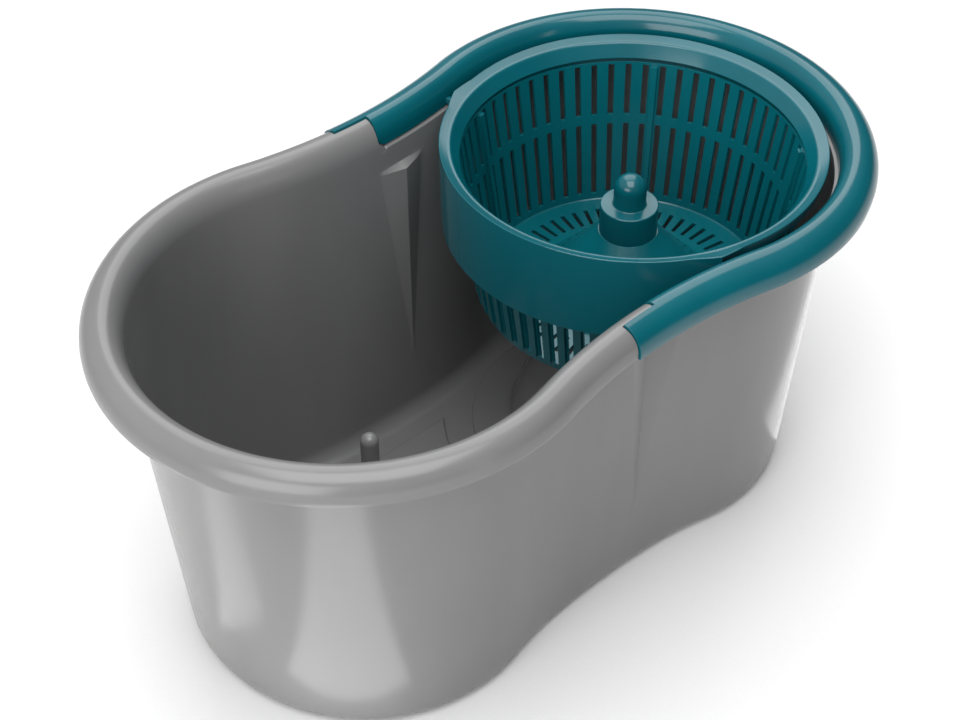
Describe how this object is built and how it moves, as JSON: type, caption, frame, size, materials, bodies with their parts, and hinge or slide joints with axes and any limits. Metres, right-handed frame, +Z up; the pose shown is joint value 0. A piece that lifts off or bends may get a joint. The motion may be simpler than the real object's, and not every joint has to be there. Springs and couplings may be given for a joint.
{
  "type": "spin mop bucket",
  "caption": "Two-lobed mop bucket with a wash pin in one lobe and, under a clip-on funnel collar, a spinning wringer basket on a bearing in the other.",
  "frame": {"origin": "middle of the footprint on the ground, half way between the two ends", "axes": "+X along the bucket towards the spin basket, +Z up; the XZ plane is the mirror plane"},
  "size_m": [0.4832, 0.2742, 0.2231],
  "materials": {
    "bucket_shell": "moulded polypropylene, satin grey",
    "grey_pin": "moulded polypropylene, satin grey",
    "collar_teal": "moulded polypropylene, glossy teal",
    "basket_teal": "moulded polypropylene, semi-gloss teal",
    "hub_teal": "moulded polypropylene, glossy teal",
    "acetal": "natural acetal, smooth",
    "stainless": "turned stainless steel",
    "spring_steel": "hardened spring steel"
  },
  "bodies": {
    "bucket_body": {"bucket": "bucket_shell", "wash_pin": "grey_pin", "spindle": "stainless", "thrust_washer": "acetal", "retaining_clip": "spring_steel"},
    "basket_rotor": {"basket": "basket_teal", "hub_post": "hub_teal", "bearing_bush": "acetal"},
    "collar_body": {"collar": "collar_teal"}
  },
  "joints": [
    {"name": "basket_spin", "type": "hinge", "parent": "bucket_body", "child": "basket_rotor", "pos_m": [0.1044, 0, 0.1113], "axis": [0, 0, 1], "continuous": true},
    {"name": "collar_lift", "type": "slide", "parent": "bucket_body", "child": "collar_body", "axis": [0, 0, 1], "range_m": [0, 0.12]}
  ]
}
